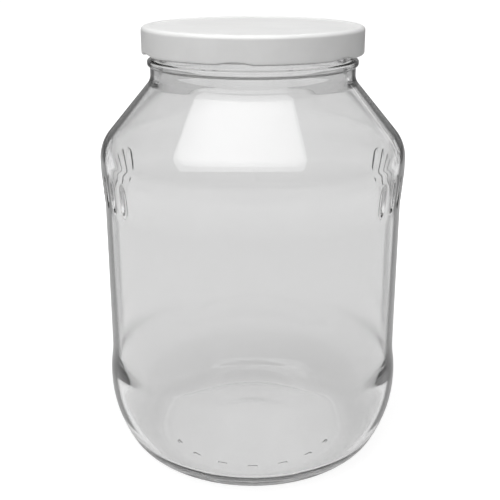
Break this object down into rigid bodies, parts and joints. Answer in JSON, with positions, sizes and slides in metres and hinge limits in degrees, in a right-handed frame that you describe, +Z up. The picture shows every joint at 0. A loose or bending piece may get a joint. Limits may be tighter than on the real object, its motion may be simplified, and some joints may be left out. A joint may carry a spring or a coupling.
{
  "type": "glass storage jar",
  "caption": "Large empty preserving jar of clear glass with a coned shoulder, grip flutes on both flanks, a recessed label panel and a white metal twist-off cap, shut.",
  "frame": {"origin": "centre of the jar's base, on the plane that it stands on", "axes": "+Z up along the jar's axis, -Y towards the front"},
  "size_m": [0.1606, 0.1606, 0.2335],
  "materials": {
    "glass": "clear, smooth",
    "cap_enamel": "white enamel on tinplate, satin gloss",
    "compound": "matt off-white sealing compound"
  },
  "bodies": {
    "root": {"jar": "glass", "cap": "cap_enamel", "seal": "compound"}
  },
  "joints": []
}
